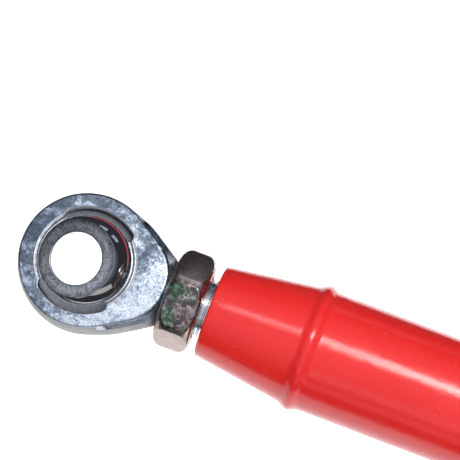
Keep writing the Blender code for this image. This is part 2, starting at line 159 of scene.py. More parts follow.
def lathe(name, profile, *materials, segments=FINE, axis="X", wobble=None, sharp=32.0):
    """A turned piece. wobble(along, angle) may add to the radius, for hand-made surfaces."""
    bm = bmesh.new()
    rings = []
    for along, radius in profile:
        if radius < 1e-6:
            rings.append([bm.verts.new(Vector((along, 0.0, 0.0)) * MM)])
            continue
        ring = []
        for step in range(segments):
            angle = math.tau * step / segments
            reach = radius + (wobble(along, angle) if wobble else 0.0)
            point = Vector((along, reach * math.sin(angle), reach * math.cos(angle)))
            ring.append(bm.verts.new(point * MM))
        rings.append(ring)
    loops = list(zip(rings, rings[1:]))
    if len(rings[0]) > 1 or len(rings[-1]) > 1:
        loops.append((rings[-1], rings[0]))
    for low, high in loops:
        for step in range(segments):
            after = (step + 1) % segments
            corners = [low[step % len(low)], low[after % len(low)], high[after % len(high)],
                       high[step % len(high)]]
            unique = list(dict.fromkeys(corners))
            if len(unique) > 2:
                bm.faces.new(unique)
    if axis == "Z":
        bmesh.ops.rotate(bm, verts=bm.verts, matrix=Matrix.Rotation(-math.pi / 2, 3, "Y"))
    return finish_mesh(name, bm, *materials, sharp=sharp)


def prism(name, outline, low, high, *materials):
    """An outline of (x, y) points drawn up along Z."""
    bm = bmesh.new()
    rings = [[bm.verts.new(Vector((x, y, z)) * MM) for x, y in outline] for z in (low, high)]
    count = len(outline)
    for step in range(count):
        after = (step + 1) % count
        bm.faces.new((rings[0][step], rings[0][after], rings[1][after], rings[1][step]))
    bm.faces.new(rings[0])
    bm.faces.new(rings[1])
    return finish_mesh(name, bm, *materials)


def bake(obj, turn):
    """Turns the mesh itself."""
    obj.data.transform(turn.to_4x4())
    return obj


def move(obj, location=(0.0, 0.0, 0.0), turn=None):
    """Turns the object and then moves it by millimetres; its mesh keeps its own frame for the materials."""
    step = Matrix.Translation(Vector(location) * MM) @ (turn or Matrix.Identity(3)).to_4x4()
    obj.matrix_world = step @ obj.matrix_world
    return obj


def boolean(obj, other, operation="DIFFERENCE"):
    step = obj.modifiers.new(operation.lower(), "BOOLEAN")
    step.operation = operation
    step.object = other
    apply_modifiers(obj)
    bpy.data.objects.remove(other)
    return obj


def apply_modifiers(obj):
    graph = bpy.context.evaluated_depsgraph_get()
    mesh = bpy.data.meshes.new_from_object(obj.evaluated_get(graph))
    obj.modifiers.clear()
    obj.data = mesh
    return obj


def soften(obj, width, segments=3, sharp=25.0):
    """Rounds the edges that are still hard."""
    bevel = obj.modifiers.new("edges", "BEVEL")
    bevel.width = width * MM
    bevel.segments = segments
    bevel.limit_method = "ANGLE"
    bevel.angle_limit = math.radians(sharp)
    bevel.harden_normals = False
    apply_modifiers(obj)
    obj.data.shade_smooth()
    obj.data.set_sharp_from_angle(angle=math.radians(32))
    return obj


def flatten_planes(obj, axis=2, limit=0.9999):
    """Flat shading on faces square to an axis, so that a bevel beside them doesn't bend their shading."""
    for face in obj.data.polygons:
        if abs(face.normal[axis]) > limit:
            face.use_smooth = False
    return obj


def stand_for(obj, body, slot, *nodes):
    """Rides on a body in place of CAD nodes."""
    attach(obj, body)
    if nodes:
        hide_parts(*nodes)
    return obj


# ---------------------------------------------------------------- materials
class Shader:
    """A Principled material and short calls that add nodes to it."""

    def __init__(self, name, **settings):
        self.material = bpy.data.materials.new(name)
        self.material.use_nodes = True
        self.tree = self.material.node_tree
        self.main = self.tree.nodes["Principled BSDF"]
        for socket, value in settings.items():
            self.main.inputs[socket.replace("_", " ")].default_value = value

    def add(self, kind, inputs=None, **settings):
        node = self.tree.nodes.new(kind)
        for key, value in settings.items():
            setattr(node, key, value)
        for key, value in (inputs or {}).items():
            if isinstance(value, bpy.types.NodeSocket):
                self.tree.links.new(value, node.inputs[key])
            else:
                node.inputs[key].default_value = value
        return node

    def place(self, scale=(1.0, 1.0, 1.0)):
        where = self.add("ShaderNodeTexCoord").outputs["Object"]
        return self.add("ShaderNodeMapping", {"Vector": where, "Scale": scale}).outputs["Vector"]

    def part(self, axis):
        """One object coordinate, in metres."""
        where = self.add("ShaderNodeTexCoord").outputs["Object"]
        return self.add("ShaderNodeSeparateXYZ", {"Vector": where}).outputs[axis]

    def near(self, centre, size, ragged):
        """1 near a point given in mm, 0 past size mm from it, with a ragged border."""
        where = self.add("ShaderNodeTexCoord").outputs["Object"]
        point = tuple(value * MM for value in centre)
        away = self.add("ShaderNodeVectorMath", {0: where, 1: point}, operation="DISTANCE").outputs["Value"]
        frayed = self.math("ADD", away, self.range(ragged, -0.45 * size * MM, 0.45 * size * MM, 0.3, 0.7))
        return self.range(frayed, 1.0, 0.0, 0.6 * size * MM, size * MM)

    def noise(self, scale, detail=4.0, rough=0.55, stretch=(1.0, 1.0, 1.0), distortion=0.0):
        return self.add("ShaderNodeTexNoise", {
            "Vector": self.place(stretch), "Scale": scale, "Detail": detail, "Roughness": rough,
            "Distortion": distortion}).outputs["Fac"]

    def ramp(self, value, *stops):
        """Colour ramp; stops are (position, colour or grey)."""
        node = self.add("ShaderNodeValToRGB", {"Fac": value})
        elements = node.color_ramp.elements
        while len(elements) < len(stops):
            elements.new(0.5)
        for element, (position, colour) in zip(elements, stops):
            element.position = position
            if isinstance(colour, (int, float)):
                colour = (colour, colour, colour)
            element.color = (*colour, 1.0)
        return node.outputs["Color"]

    def range(self, value, low, high, from_low=0.0, from_high=1.0):
        return self.add("ShaderNodeMapRange", {
            "Value": value, "From Min": from_low, "From Max": from_high, "To Min": low,
            "To Max": high}).outputs["Result"]

    def mix(self, fraction, first, second, blend="MIX"):
        node = self.add("ShaderNodeMix", data_type="RGBA", blend_type=blend)
        for index, value in ((0, fraction), (6, first), (7, second)):
            socket = node.inputs[index]
            if isinstance(value, bpy.types.NodeSocket):
                self.tree.links.new(value, socket)
            elif isinstance(value, tuple):
                socket.default_value = (*value, 1.0)
            else:
                socket.default_value = value
        return node.outputs[2]

    def math(self, operation, first, second=0.0):
        node = self.add("ShaderNodeMath", operation=operation)
        for socket, value in zip(node.inputs, (first, second)):
            if isinstance(value, bpy.types.NodeSocket):
                self.tree.links.new(value, socket)
            else:
                socket.default_value = value
        return node.outputs[0]

    def bump(self, height, distance, strength=1.0, under=None):
        inputs = {"Height": height, "Distance": distance * MM, "Strength": strength}
        if under is not None:
            inputs["Normal"] = under
        return self.add("ShaderNodeBump", inputs).outputs["Normal"]

    def set(self, socket, value):
        self.tree.links.new(value, self.main.inputs[socket])
        return self


def red_enamel():
    """Glossy red enamel with orange peel, rubbed patches, fine scuffs and dust."""
    made = Shader("red_enamel", Metallic=0.0, IOR=1.52)
    broad = made.noise(16.0, 3.0)
    tone = made.ramp(broad, (0.30, (0.88, 0.021, 0.019)), (0.70, (0.95, 0.028, 0.025)))
    fine = made.noise(850.0, 3.0, 0.6)
    specks = made.ramp(fine, (0.66, (0.0, 0.0, 0.0)), (0.72, (1.0, 1.0, 1.0)))
    scuffs = made.ramp(made.noise(130.0, 8.0, 0.8, stretch=(0.35, 1.0, 1.0), distortion=1.2),
                       (0.60, (0.0, 0.0, 0.0)), (0.72, (1.0, 1.0, 1.0)))
    marks = made.math("MAXIMUM", made.math("MULTIPLY", specks, 0.25), made.math("MULTIPLY", scuffs, 0.06))
    made.set("Base Color", made.mix(marks, tone, (0.95, 0.40, 0.38)))
    rubbed_and_highlight = made.noise(48.0, 6.0, 0.7, stretch=(0.5, 1.0, 1.0))
    made.set("Roughness", made.math("ADD", made.range(rubbed_and_highlight, 0.13, 0.27, 0.35, 0.75),
                                    made.math("MULTIPLY", scuffs, 0.12)))
    peel = made.bump(made.noise(300.0, 2.0), 0.09)
    made.set("Normal", made.bump(made.noise(1300.0, 4.0, 0.7), 0.035, under=peel))
    return made.material


def bright_zinc():
    """Blue-white zinc on the eye with spangled clouds and scratches; a painted reflection darkens the crown
    and lightens the nose and -Y.
    """
    made = Shader("bright_zinc", Metallic=1.0)
    along = made.part("X")
    across = made.part("Y")
    clouds = made.noise(75.0, 6.0, 0.70, stretch=(0.7, 1.0, 1.0), distortion=0.3)
    spangle = made.noise(330.0, 8.0, 0.84, distortion=0.15)
    scribble = made.noise(620.0, 4.0, 0.6, distortion=1.6)
    # painted reflection: the next three lines darken the zinc towards the crown (-X) and lighten it towards
    # the nose (+X) and towards -Y
    reach = made.range(along, -0.075, 0.13, -0.030, 0.022)
    lower = made.range(across, 0.045, -0.10, -0.024, 0.028)
    side = made.math("ADD", reach, lower)
    mottle = made.math("ADD", made.math("MULTIPLY", clouds, 0.95), made.math("MULTIPLY", spangle, 0.85))
    value = made.math("ADD", made.math("SUBTRACT", mottle, 0.455), side)
    tone = made.ramp(value, (0.34, (0.050, 0.062, 0.080)), (0.45, (0.14, 0.17, 0.21)),
                     (0.54, (0.31, 0.35, 0.41)), (0.60, (0.42, 0.46, 0.52)), (0.90, (0.50, 0.54, 0.60)))
    lines = made.ramp(scribble, (0.46, (0.0, 0.0, 0.0)), (0.495, (1.0, 1.0, 1.0)), (0.53, (0.0, 0.0, 0.0)))
    made.set("Base Color", made.mix(made.math("MULTIPLY", lines, 0.32), tone, (0.19, 0.23, 0.32)))
    made.set("Roughness", made.range(spangle, 0.16, 0.34, 0.3, 0.7))
    swell = made.bump(made.noise(110.0, 3.0), 0.03)
    made.set("Normal", made.bump(spangle, 0.035, under=swell))
    return made.material


def forged_side():
    """Satin light grey zinc on the forged outer wall."""
    made = Shader("forged_zinc", Metallic=0.50)
    grain = made.noise(420.0, 6.0, 0.72)
    pits = made.noise(120.0, 4.0, 0.6)
    both = made.mix(0.4, grain, pits)
    made.set("Base Color", made.ramp(both, (0.36, (0.27, 0.265, 0.25)), (0.50, (0.40, 0.395, 0.38)),
                                     (0.66, (0.54, 0.54, 0.53))))
    made.set("Roughness", made.range(grain, 0.52, 0.72, 0.3, 0.7))
    made.set("Normal", made.bump(both, 0.06))
    return made.material


def painted_highlight_edge():
    """Pale zinc on the rolled edges of the forging's machined face, a painted highlight along the rims."""
    made = Shader("highlight_zinc", Metallic=0.55)
    grain = made.noise(500.0, 5.0, 0.7)
    made.set("Base Color", made.ramp(grain, (0.36, (0.36, 0.37, 0.39)), (0.62, (0.72, 0.74, 0.77))))
    made.set("Roughness", made.range(grain, 0.26, 0.44, 0.3, 0.7))
    made.set("Normal", made.bump(grain, 0.02))
    return made.material


def milled_seat():
    """Milled wall of the seat and its loading slots, with marks along the cutter's travel."""
    made = Shader("milled_seat", Metallic=0.10)
    marks = made.noise(420.0, 6.0, 0.7, stretch=(1.0, 1.0, 0.45))
    made.set("Base Color", made.ramp(marks, (0.34, (0.62, 0.62, 0.65)), (0.60, (0.95, 0.96, 1.00))))
    made.set("Roughness", made.range(marks, 0.30, 0.55, 0.3, 0.7))
    made.set("Normal", made.bump(marks, 0.05))
    return made.material


def yellow_zinc():
    """Iridescent yellow passivate: straw and rose with green clouds in a dark network."""
    made = Shader("yellow_zinc", Metallic=1.0)
    grain = made.noise(420.0, 7.0, 0.76, distortion=0.4)
    clouds = made.noise(95.0, 4.0, 0.6, distortion=0.8)
    veins = made.noise(300.0, 8.0, 0.80, distortion=0.8)
    tone = made.ramp(clouds, (0.36, (0.52, 0.44, 0.36)), (0.50, (0.56, 0.42, 0.40)),
                     (0.62, (0.62, 0.51, 0.44)))
    for centre, size, colour in NUT_CLOUDS:
        near = made.near(centre, size, made.noise(160.0, 4.0))
        tone = made.mix(near, tone, colour)
    top = made.range(made.part("Z"), 0.0, 1.0, 0.0208, 0.0220)
    dark = made.ramp(made.mix(0.4, veins, grain), (0.48, (1.0, 1.0, 1.0)), (0.58, (0.0, 0.0, 0.0)))
    # painted shade: the first flat is darkened a tenth towards near-black
    shade = made.math("MULTIPLY", top, 0.10)
    tone = made.mix(shade, tone, (0.045, 0.055, 0.050))
    network = made.math("MULTIPLY", made.math("MULTIPLY", dark, top), 0.84)
    # painted shade: the lower flat, towards -Y, is darkened to 0.58 of its tone
    lower = made.range(made.part("Y"), 0.58, 1.0, -0.0140, -0.0112)
    tone = made.mix(1.0, tone, lower, "MULTIPLY")
    flecks = made.math("MULTIPLY", made.ramp(grain, (0.38, (1.0, 1.0, 1.0)), (0.50, (0.0, 0.0, 0.0))), 0.12)
    made.set("Base Color", made.mix(made.math("MAXIMUM", network, flecks), tone, (0.030, 0.034, 0.040)))
    made.set("Roughness", made.range(grain, 0.20, 0.32, 0.3, 0.7))
    made.set("Normal", made.bump(made.math("MULTIPLY", grain, top), 0.03))
    return made.material


def chrome_shader(name, tone, rough):
    """Ground and polished chrome with faint grinding marks round the axis."""
    made = Shader(name, Metallic=1.0)
    marks = made.noise(900.0, 2.0, stretch=(6.0, 0.15, 0.15))
    made.tone = made.ramp(marks, (0.3, (tone * 0.94, tone * 0.95, tone * 0.97)),
                          (0.7, (tone, tone * 1.01, tone * 1.03)))
    made.set("Base Color", made.tone)
    made.set("Roughness", made.range(marks, rough * 0.7, rough * 1.5, 0.3, 0.7))
    made.set("Normal", made.bump(marks, 0.002))
    return made


def hard_chrome(name="hard_chrome", tone=0.62, rough=0.06):
    return chrome_shader(name, tone, rough).material


def painted_chrome(lean):
    """Ball chrome with a thin arc of red paint where the seat's edge once lay against the ball."""
    paint_level = 15.8 * MM
    made = chrome_shader("painted_chrome", 0.55, 0.05)
    where = made.add("ShaderNodeTexCoord").outputs["Object"]
    up = tuple(lean.transposed() @ Vector((0.0, 0.0, 1.0)))
    side = tuple(lean.transposed() @ Vector((0.50, 0.87, 0.0)))
    level = made.add("ShaderNodeVectorMath", {0: where, 1: up}, operation="DOT_PRODUCT").outputs["Value"]
    reach = made.add("ShaderNodeVectorMath", {0: where, 1: side}, operation="DOT_PRODUCT").outputs["Value"]
    ragged = made.range(made.noise(260.0, 4.0), -0.10 * MM, 0.10 * MM, 0.3, 0.7)
    off = made.math("ABSOLUTE", made.math("SUBTRACT", made.math("ADD", level, ragged), paint_level))
    line = made.range(off, 1.0, 0.0, 0.20 * MM, 0.44 * MM)
    fade = made.range(reach, 0.0, 1.0, 11.0 * MM, 17.5 * MM)
    mask = made.math("MULTIPLY", line, fade)
    made.set("Base Color", made.mix(mask, made.tone, (0.80, 0.03, 0.04)))
    made.set("Metallic", made.math("SUBTRACT", 1.0, mask))
    return made.material


def machined_face():
    """Turned grey side face of a ball: radial brushing, a paler middle ring, handling marks and a painted
    reflection lightening it across a diagonal.
    """
    made = Shader("machined_face", Metallic=1.0)
    x, y = made.part("X"), made.part("Y")
    angle = made.math("ARCTAN2", y, x)
    radius = made.math("SQRT", made.math("ADD", made.math("MULTIPLY", x, x), made.math("MULTIPLY", y, y)))
    around = {"X": made.math("SINE", angle), "Y": made.math("COSINE", angle),
              "Z": made.math("MULTIPLY", radius, 18.0)}
    where = made.add("ShaderNodeCombineXYZ", around).outputs["Vector"]
    brushed = made.add("ShaderNodeTexNoise", {"Vector": where, "Scale": 48.0, "Detail": 5.0,
                                              "Roughness": 0.7}).outputs["Fac"]
    ring = made.ramp(made.range(radius, 0.0, 1.0, BORE_RADIUS * MM, 0.0193), (0.0, 0.30), (0.25, 0.46),
                     (0.55, 0.52), (0.82, 0.30), (1.0, 0.16))
    marks = made.noise(380.0, 6.0, 0.75, distortion=0.8)
    grey = made.math("ADD", made.math("MULTIPLY", brushed, 0.55), made.math("MULTIPLY", marks, 0.45))
    shade = made.ramp(grey, (0.42, (0.22, 0.23, 0.26)), (0.50, (0.66, 0.67, 0.71)), (0.58, (1.0, 1.0, 1.0)))
    # painted reflection: the face goes from 0.62 to 1.25 of its tone across x - y
    painted_reflection_slant = made.range(made.math("SUBTRACT", x, y), 0.62, 1.25, -0.018, 0.020)
    made.set("Base Color", made.mix(1.0, made.mix(1.0, ring, shade, "MULTIPLY"), painted_reflection_slant, "MULTIPLY"))
    made.set("Roughness", made.range(marks, 0.28, 0.46, 0.3, 0.7))
    made.set("Normal", made.bump(brushed, 0.03, under=made.bump(marks, 0.02)))
    return made.material


def turned_steel():
    """Bare turned steel with fine tool marks along the axis."""
    made = Shader("turned_steel", Metallic=1.0)
    marks = made.noise(700.0, 2.0, stretch=(3.0, 0.1, 0.1))
    clouds = made.noise(60.0, 4.0)
    made.set("Base Color", made.mix(0.5, made.ramp(marks, (0.3, 0.30), (0.7, 0.46)),
                                    made.ramp(clouds, (0.3, 0.34), (0.7, 0.50))))
    made.set("Roughness", made.range(clouds, 0.24, 0.40, 0.3, 0.7))
    made.set("Normal", made.bump(marks, 0.012))
    return made.material


def dark_spring_steel():
    made = Shader("spring_steel", Metallic=1.0)
    grain = made.noise(500.0, 4.0)
    made.set("Base Color", made.ramp(grain, (0.3, 0.05), (0.7, 0.11)))
    made.set("Roughness", made.range(grain, 0.35, 0.55, 0.3, 0.7))
    made.set("Normal", made.bump(grain, 0.01))
    return made.material


def plastic(name, low, high, rough_low, rough_high, scale=260.0):
    """Moulded plastic or rubber with a faint mould grain."""
    made = Shader(name, Metallic=0.0)
    grain = made.noise(scale, 4.0, 0.65)
    made.set("Base Color", made.ramp(grain, (0.3, low), (0.7, high)))
    made.set("Roughness", made.range(grain, rough_low, rough_high, 0.3, 0.7))
    made.set("Normal", made.bump(grain, 0.02))
    return made.material


# Coloured clouds in the passivate of a nut's first flat: centre in mm, size in mm, colour.
NUT_CLOUDS = (
    ((46.4, 6.2, 22.4), 5.0, (0.24, 0.37, 0.22)),
    ((47.4, -6.5, 22.4), 5.2, (0.46, 0.62, 0.38)),
    ((53.6, -2.8, 22.4), 5.2, (0.84, 0.56, 0.56)),
    ((53.2, 5.6, 22.4), 3.2, (0.86, 0.84, 0.64)))

RED = red_enamel()
ZINC = bright_zinc()
FORGED = forged_side()
HIGHLIGHT_ZINC = painted_highlight_edge()
SEAT = milled_seat()
YELLOW = yellow_zinc()
CHROME = hard_chrome()
BALL_CHROME = hard_chrome("ball_chrome", 0.55, 0.05)
BORE_CHROME = hard_chrome("bore_chrome", 0.97, 0.10)
BALL_FACE = machined_face()
THREAD_STEEL = hard_chrome("thread_steel", 0.80, 0.22)
STEEL = turned_steel()
SPRING = dark_spring_steel()
NYLON = plastic("guide_nylon", (0.60, 0.54, 0.40), (0.72, 0.67, 0.54), 0.45, 0.60)
SEAL_BLUE = plastic("seal_polyurethane", (0.02, 0.07, 0.24), (0.03, 0.10, 0.32), 0.30, 0.42)
NITRILE = plastic("nitrile", (0.010, 0.010, 0.010), (0.022, 0.022, 0.022), 0.45, 0.65)
SLOT_MATERIALS = {
    "red_enamel": RED, "bright_zinc": ZINC, "yellow_zinc": YELLOW, "ball_chrome": BALL_CHROME,
    "rod_chrome": CHROME, "machined_steel": STEEL, "spring_steel": SPRING, "guide_nylon": NYLON,
    "seal_polyurethane": SEAL_BLUE, "nitrile": NITRILE}


# ---------------------------------------------------------------- rod ends
def outline_radius(discs, angle, end):
    """How far the hull of discs on the X axis, cut off at x = end, reaches from the origin at an angle."""
    reach = end / math.cos(angle) if math.cos(angle) > 1e-6 else math.inf
    for step in range(-176, 177):
        lean = math.radians(step / 2)
        support = max(x * math.cos(angle + lean) + radius for x, radius in discs)
        reach = min(reach, support / math.cos(lean))
    return reach


def eye_body(name):
    """Forged eye: flat milled faces with a rounded edge, sides that swell to the parting line."""
    points = 180
    levels = [(1.0, 0.0, step / 6) for step in range(7)]
    levels += [(z, math.sqrt(1 - (z / EYE_HALF) ** 2), 1.0) for z in (9.0, 7.5, 5.0, 2.5)]
    levels = levels + [(0.0, 1.0, 1.0)] + [(-z, full, share) for z, full, share in reversed(levels)]
    bm = bmesh.new()
    rings = []
    reaches = []
    for step in range(points):
        angle = math.tau * step / points
        reaches.append((angle, outline_radius(FACE_DISCS, angle, EYE_END),
                        outline_radius(WAIST_DISCS, angle, EYE_END)))
    for z, full, share in levels:
        ring = []
        for angle, face, waist in reaches:
            edge = FACE_EDGE + NOSE_EDGE * max(0.0, math.cos(angle)) ** 3
            turn = math.radians(90 * share)
            radius = face + (waist - face) * full - edge * (1 - math.sin(turn))
            height = z if abs(z) > 1.0 or z == 0.0 else z * (EYE_HALF - edge * (1 - math.cos(turn)))
            point = Vector((radius * math.cos(angle), radius * math.sin(angle), height))
            ring.append(bm.verts.new(point * MM))
        rings.append(ring)
    for high, low in zip(rings, rings[1:]):
        for step in range(points):
            after = (step + 1) % points
            bm.faces.new((low[step], low[after], high[after], high[step]))
    bm.faces.new(rings[0])
    bm.faces.new(rings[-1])
    obj = finish_mesh(name, bm, ZINC, FORGED, SEAT)
    for face in obj.data.polygons:
        face.material_index = 0 if abs(face.normal.z) > 0.5 else 1
    return obj


def slot_outline(radius, half, corner):
    """Plan of the two loading slots: a disc cut off at plus and minus half, with its corners eased."""
    swing = math.asin(half / radius) - corner / radius
    steps = 30
    side = math.sqrt(radius ** 2 - half ** 2) - corner
    upper = [(half, side), (half - 0.08 * corner, side + 0.6 * corner)]
    for step in range(steps + 1):
        angle = math.pi / 2 - swing + 2 * swing * step / steps
        upper.append((radius * math.cos(angle), radius * math.sin(angle)))
    upper += [(-half + 0.08 * corner, side + 0.6 * corner), (-half, side)]
    return upper + [(-x, -y) for x, y in upper]


def cutter(name, levels, *materials):
    """A closed cutter lofted through (z, outline) levels with the same number of points."""
    bm = bmesh.new()
    rings = [[bm.verts.new(Vector((x, y, z)) * MM) for x, y in outline] for z, outline in levels]
    count = len(rings[0])
    for low, high in zip(rings, rings[1:]):
        for step in range(count):
            after = (step + 1) % count
            bm.faces.new((low[step], low[after], high[after], high[step]))
    bm.faces.new(rings[0])
    bm.faces.new(rings[-1])
    return finish_mesh(name, bm, *materials)


def rolled(steps=5):
    """(height below the face, outward offset) along a rolled mouth edge."""
    return [(MOUTH_ROLL * (1 - math.sin(turn)), MOUTH_ROLL * (1 - math.cos(turn)))
            for turn in (math.radians(90 * step / steps) for step in range(steps + 1))]


def rod_end_shape(name):
    """The eye with its seat, slots and neck, in its own frame."""
    body = eye_body(name)
    deep = EYE_HALF - MOUTH_DEPTH
    above = EYE_HALF + 2.0
    mouth = math.sqrt(SEAT_RADIUS ** 2 - deep ** 2)
    sphere = [(z, math.sqrt(SEAT_RADIUS ** 2 - z ** 2))
              for z in (deep * step / 12 for step in range(-12, 13))]
    top = [(deep + 0.12, mouth + 0.12), (deep + 0.40, mouth + 0.66), (EYE_HALF - 0.09, mouth + 1.2),
           (EYE_HALF, mouth + MOUTH_WIDTH), (above, mouth + MOUTH_WIDTH), (above, 0.0)]
    bottom = [(-z, radius) for z, radius in reversed(top)]
    boolean(body, lathe(name + "_seat", bottom + sphere + top, SEAT, axis="Z"))
    radius = SEAT_RADIUS + 0.1
    levels = [(-0.6, slot_outline(radius, SLOT_HALF, SLOT_CORNER))]
    levels += [(EYE_HALF - below, slot_outline(radius + out, SLOT_HALF + out, SLOT_CORNER + out))
               for below, out in rolled()]
    levels.append((above, levels[-1][1]))
    boolean(body, cutter(name + "_slot", levels, SEAT))
    root, collar = EYE_HALF - 1.2, THREAD_RADIUS - 0.1
    neck = [(EYE_END - 5.0, 0.0), (EYE_END - 5.0, root), (EYE_END - 0.2, root),
            (EYE_END - 0.2, collar), (EYE_END + 3.0, collar), (EYE_END + 3.6, 0.0)]
    boolean(body, lathe(name + "_neck", neck, FORGED), "UNION")
    # painted highlight: the rolled edges round the seat and slots get the pale highlight zinc
    body.data.materials.append(HIGHLIGHT_ZINC)
    rubbed_and_highlight = len(body.data.materials) - 1
    for face in body.data.polygons:
        if abs(face.center.z) > (EYE_HALF - RIM_DEPTH) * MM:
            inside = face.center.xy.length < (SEAT_RADIUS + HIGHLIGHT_REACH) * MM
            face.material_index = rubbed_and_highlight if inside and abs(face.normal.z) < 0.985 else 0
    body.data.shade_smooth()
    body.data.set_sharp_from_angle(angle=math.radians(30))
    return flatten_planes(body)


def thread(name, start, end, pitch, radius, material):
    """A single-start thread: a ridge profile swept along a helix, closed at both ends."""
    depth = 0.55 * pitch
    around = MEDIUM
    section = ((0.0, -depth), (0.18, -depth), (0.44, 0.0), (0.58, 0.0), (0.84, -depth))
    bm = bmesh.new()
    turns = (end - start) / pitch
    steps = int(turns * around)
    rows = []
    for step in range(steps + 1):
        angle = math.tau * step / around
        along = start + pitch * step / around
        row = []
        for share, rise in section:
            reach = radius + rise
            row.append(bm.verts.new(Vector((along + share * pitch, reach * math.sin(angle),
                                            reach * math.cos(angle))) * MM))
        rows.append(row)
    for before, after in zip(rows, rows[1:]):
        for index in range(len(section) - 1):
            bm.faces.new((before[index], after[index], after[index + 1], before[index + 1]))
    for step in range(steps + 1 - around):
        if step + 1 + around <= steps:
            bm.faces.new((rows[step][-1], rows[step + 1][-1], rows[step + 1 + around][0],
                          rows[step + around][0]))
    core_start = [rows[step][0] for step in range(around + 1)]
    core_end = [rows[steps - around + step][-1] for step in range(around + 1)]
    hub_start = bm.verts.new(Vector((start + pitch / 2, 0.0, 0.0)) * MM)
    hub_end = bm.verts.new(Vector((end, 0.0, 0.0)) * MM)
    for ring, hub in ((core_start, hub_start), (core_end, hub_end)):
        for first, second in zip(ring, ring[1:]):
            bm.faces.new((first, second, hub))
    bm.faces.new([hub_start, *reversed(rows[0]), rows[around][0]])
    bm.faces.new([hub_end, *rows[-1], rows[steps - around][-1]])
    return finish_mesh(name, bm, material, sharp=40.0)


def ball_shape(name, chrome):
    """Pierced ball: polished sphere, turned side faces, bright bore, broken edges."""
    limit = BALL_HALF - BALL_EDGE
    arc_steps = 44
    sphere = []
    for step in range(arc_steps + 1):
        z = limit * math.sin(math.radians(180 * step / arc_steps - 90))
        sphere.append((z, math.sqrt(BALL_RADIUS ** 2 - z ** 2)))
    face = math.sqrt(BALL_RADIUS ** 2 - limit ** 2) - 0.3
    mouth = [(BALL_HALF, BORE_RADIUS + BORE_EDGE), (BALL_HALF - 0.2, BORE_RADIUS + 0.2),
             (BALL_HALF - BORE_EDGE, BORE_RADIUS)]
    profile = [*((-z, radius) for z, radius in reversed(mouth)), (-BALL_HALF, face), *sphere,
               (BALL_HALF, face), *mouth]
    obj = lathe(name, profile, chrome, BALL_FACE, BORE_CHROME, segments=FINE, axis="Z", sharp=24.0)
    for item in obj.data.polygons:
        if abs(item.normal.z) > 0.9999:
            item.material_index = 1
            item.use_smooth = False
        elif item.center.xy.length < (BORE_RADIUS + 0.05) * MM:
            item.material_index = 2
        elif item.center.xy.length < (BORE_RADIUS + BORE_EDGE + 0.1) * MM:
            item.material_index = 1
    return obj


def jam_nut_shape(name):
    """Thin hexagon nut with turned crowns, eased corners and a threaded hole; one flat faces +Z."""
    corner = NUT_SEEN_FLATS / math.sqrt(3)
    low, high = NUT_START + NUT_INSET, NUT_END - NUT_INSET
    outline = [(corner * math.cos(turn), corner * math.sin(turn))
               for turn in (math.radians(60 * step) for step in range(6))]
    nut = prism(name, outline, low, high, YELLOW)
    soften(nut, 1.5, 5, 40.0)
    bake(nut, Matrix.Rotation(math.pi / 2, 3, "Y") @ Matrix.Rotation(math.pi / 2, 3, "Z"))
    crown = [(0.0, 21.3), (0.3, 21.9), (0.8, 22.6), (1.5, 23.4), (2.4, 24.1), (3.5, 24.6), (4.8, 24.9)]
    stock = [(low - 1.0, 0.0), (low - 1.0, crown[0][1] - 1.6)]
    stock += [(low + depth, radius) for depth, radius in crown]
    stock += [(high - depth, radius) for depth, radius in reversed(crown)]
    stock += [(high + 1.0, crown[0][1] - 1.6), (high + 1.0, 0.0)]
    boolean(nut, lathe(name + "_stock", stock, YELLOW), "INTERSECT")
    hole = THREAD_RADIUS + THREAD_SLACK
    boolean(nut, lathe(name + "_hole", [
        (low - 1.0, 0.0), (low - 1.0, hole + 2.6), (low + 1.6, hole), (high - 1.6, hole),
        (high + 1.0, hole + 2.6), (high + 1.0, 0.0)], YELLOW))
    return soften(nut, 0.4, 3, 16.0)


def eye_assembly(prefix, centre, facing, body, nut_roll, ball_turn, ball_chrome):
    """Rod end, thread, ball and jam nut at one end; facing is 1 or -1 for the neck's direction along X."""
    flip = Matrix.Identity(3) if facing > 0 else Matrix.Rotation(math.pi, 3, "Z")
    eye = move(rod_end_shape(prefix + "_eye"), (centre, 0.0, 0.0), flip)
    stand_for(eye, body, "bright_zinc", prefix + "_rod_end")
    screw = thread(prefix + "_shank_thread", EYE_END + 2.0, SHANK_END - 2.0, THREAD_PITCH,
                   THREAD_RADIUS - 0.05, THREAD_STEEL)
    stand_for(move(screw, (centre, 0.0, 0.0), flip), body, "bright_zinc")
    ball = move(ball_shape(prefix + "_pierced_ball", ball_chrome), (centre, 0.0, 0.0), ball_turn)
    stand_for(ball, prefix + "_ball", "ball_chrome", prefix + "_ball")
    nut = move(jam_nut_shape(prefix + "_hex_nut"), (centre, 0.0, 0.0),
               flip @ Matrix.Rotation(math.radians(nut_roll), 3, "X"))
    stand_for(nut, prefix + "_jam_nut", "yellow_zinc", prefix + "_jam_nut")


